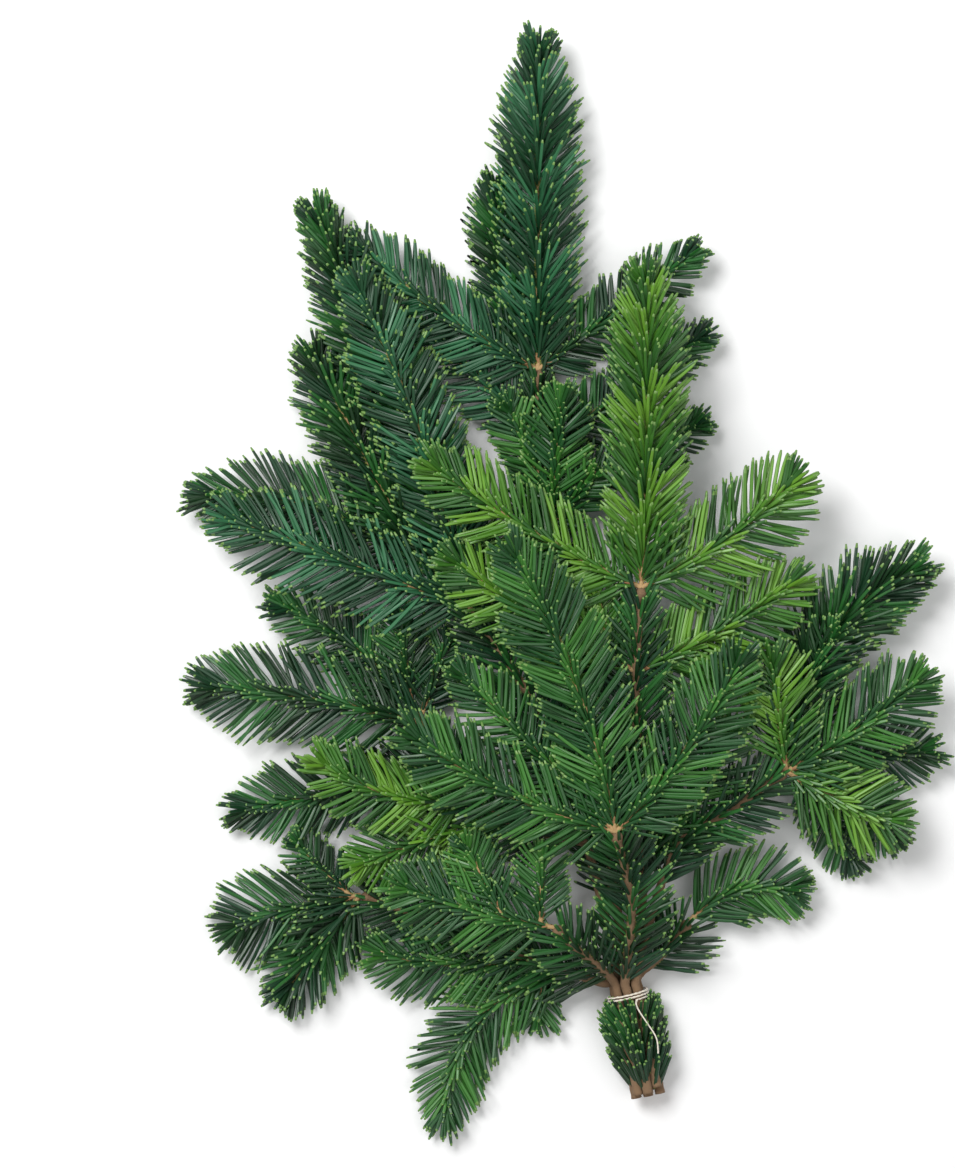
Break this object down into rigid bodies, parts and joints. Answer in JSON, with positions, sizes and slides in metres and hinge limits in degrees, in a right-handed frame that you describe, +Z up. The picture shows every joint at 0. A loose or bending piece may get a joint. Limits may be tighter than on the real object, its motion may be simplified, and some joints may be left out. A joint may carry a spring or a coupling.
{
  "type": "nordmann fir branch bunch",
  "caption": "Tied bunch of cut Nordmann fir branches lying flat: needled shoots fan out in whorls from stems that are bound with thin string near their cut ends.",
  "frame": {"origin": "centre of the bounding box's underside, on the surface that the bunch lies on", "axes": "+Y from the tied cut ends towards the longest tip, +Z up from the surface, +X to the right as seen from above with the cut ends towards the viewer"},
  "size_m": [0.4503, 0.6556, 0.0901],
  "materials": {
    "dark_needles": "satin",
    "blue_needles": "satin",
    "mid_needles": "satin",
    "bright_needles": "satin",
    "bark": "rough",
    "string": "matte"
  },
  "bodies": {
    "root": {"back_inner": "mid_needles", "back_leader": "blue_needles", "back_left_lower": "blue_needles", "back_left_upper": "blue_needles", "back_right_lower": "dark_needles", "back_right_middle": "dark_needles", "back_right_upper": "dark_needles", "back_second": "dark_needles", "back_sleeve": "dark_needles", "back_stem": "bark", "bottom_left_hanging": "mid_needles", "bottom_left_inner": "mid_needles", "bottom_left_leader": "dark_needles", "bottom_left_lower": "dark_needles", "bottom_left_sleeve": "dark_needles", "bottom_left_stem": "bark", "bottom_right": "mid_needles", "bottom_right_sleeve": "dark_needles", "bottom_right_stem": "bark", "foot_needles": "dark_needles", "front_inner": "mid_needles", "front_leader": "mid_needles", "front_left": "mid_needles", "front_right": "mid_needles", "front_sleeve": "dark_needles", "front_stem": "bark", "left_leader": "blue_needles", "left_rear": "dark_needles", "left_sleeve": "dark_needles", "left_stem": "bark", "left_under": "dark_needles", "left_upper": "blue_needles", "low_left_curved": "bright_needles", "low_left_inner": "dark_needles", "low_left_leader": "dark_needles", "low_left_lower": "bright_needles", "low_left_sleeve": "dark_needles", "low_left_stem": "bark", "low_left_under": "dark_needles", "middle_leader": "bright_needles", "middle_left_lower": "bright_needles", "middle_left_upper": "bright_needles", "middle_right_foot": "mid_needles", "middle_right_lower": "bright_needles", "middle_right_upper": "bright_needles", "middle_sleeve": "dark_needles", "middle_stem": "bark", "near_left": "mid_needles", "near_left_sleeve": "dark_needles", "near_left_stem": "bark", "right_leader": "mid_needles", "right_lower": "bright_needles", "right_rear": "dark_needles", "right_sleeve": "dark_needles", "right_stem": "bark", "right_under": "dark_needles", "right_upper": "bright_needles", "string": "string"}
  },
  "joints": []
}
